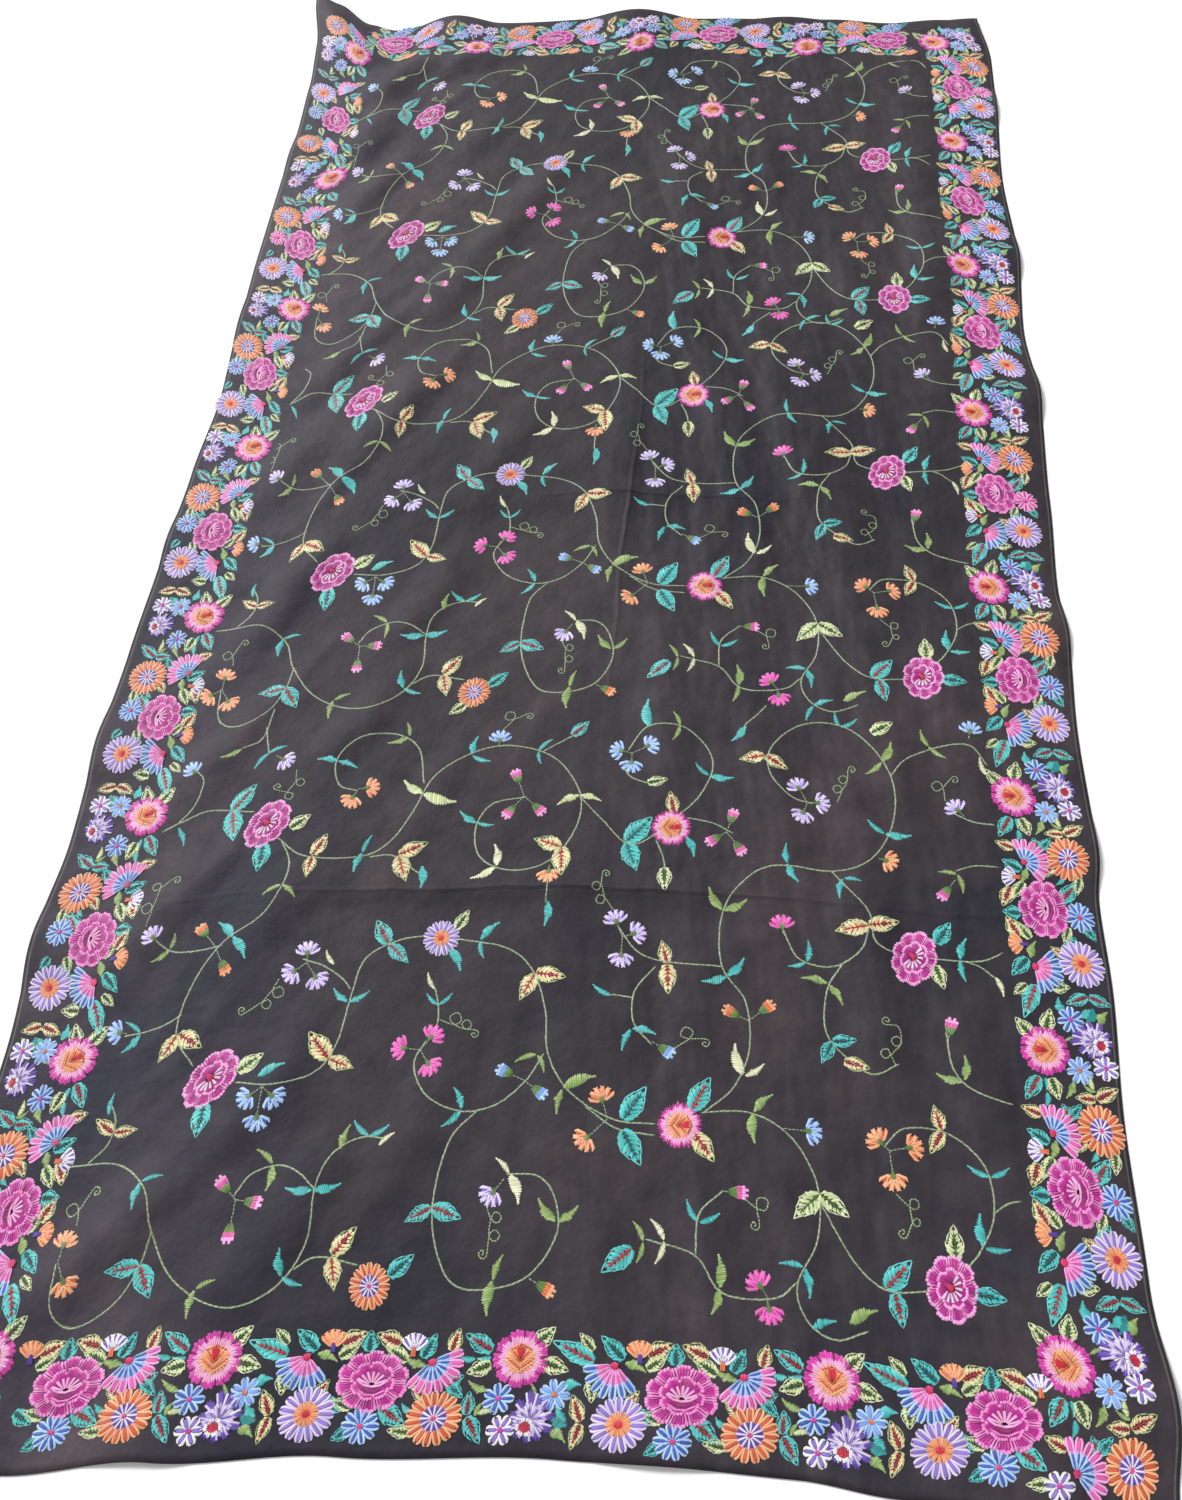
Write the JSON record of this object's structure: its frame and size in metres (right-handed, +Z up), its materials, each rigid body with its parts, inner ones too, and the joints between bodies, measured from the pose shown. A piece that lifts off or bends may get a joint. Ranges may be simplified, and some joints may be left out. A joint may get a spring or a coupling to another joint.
{
  "type": "embroidered pashmina shawl",
  "caption": "Rectangular fine wool shawl laid flat, with a dense floral embroidered border on all four sides and an open vine and flower field.",
  "frame": {"origin": "under the middle of the laid cloth, on the surface that it rests on", "axes": "+X across the shawl's width, +Y along its length away from the near end, +Z up"},
  "size_m": [1.061, 2.07, 0.0245],
  "materials": {
    "border_thread": "dense satin and long-stitch embroidery in many colours",
    "daisy_thread": "lilac embroidery thread with an orange middle",
    "fine_cloth": "charcoal pashmina twill with a soft sheen",
    "peony_thread": "magenta embroidery thread with pale petal edges",
    "rose_thread": "pink and orange embroidery thread",
    "zinnia_thread": "orange embroidery thread with a violet star"
  },
  "bodies": {
    "root": {"border_far": "border_thread", "border_left": "border_thread", "border_near": "border_thread", "border_right": "border_thread", "field_daisy_1": "daisy_thread", "field_daisy_2": "daisy_thread", "field_daisy_3": "daisy_thread", "field_peony_left_high_1": "peony_thread", "field_peony_left_high_2": "peony_thread", "field_peony_left_high_3": "peony_thread", "field_peony_left_low_1": "peony_thread", "field_peony_left_low_2": "peony_thread", "field_peony_left_low_3": "peony_thread", "field_peony_right_high_1": "peony_thread", "field_peony_right_high_2": "peony_thread", "field_peony_right_high_3": "peony_thread", "field_peony_right_low_1": "peony_thread", "field_peony_right_low_2": "peony_thread", "field_peony_right_low_3": "peony_thread", "field_rose_high_1": "rose_thread", "field_rose_high_2": "rose_thread", "field_rose_high_3": "rose_thread", "field_rose_low_1": "rose_thread", "field_rose_low_2": "rose_thread", "field_rose_low_3": "rose_thread", "field_zinnia_1": "zinnia_thread", "field_zinnia_2": "zinnia_thread", "field_zinnia_3": "zinnia_thread", "shawl_panel": "fine_cloth"}
  },
  "joints": []
}
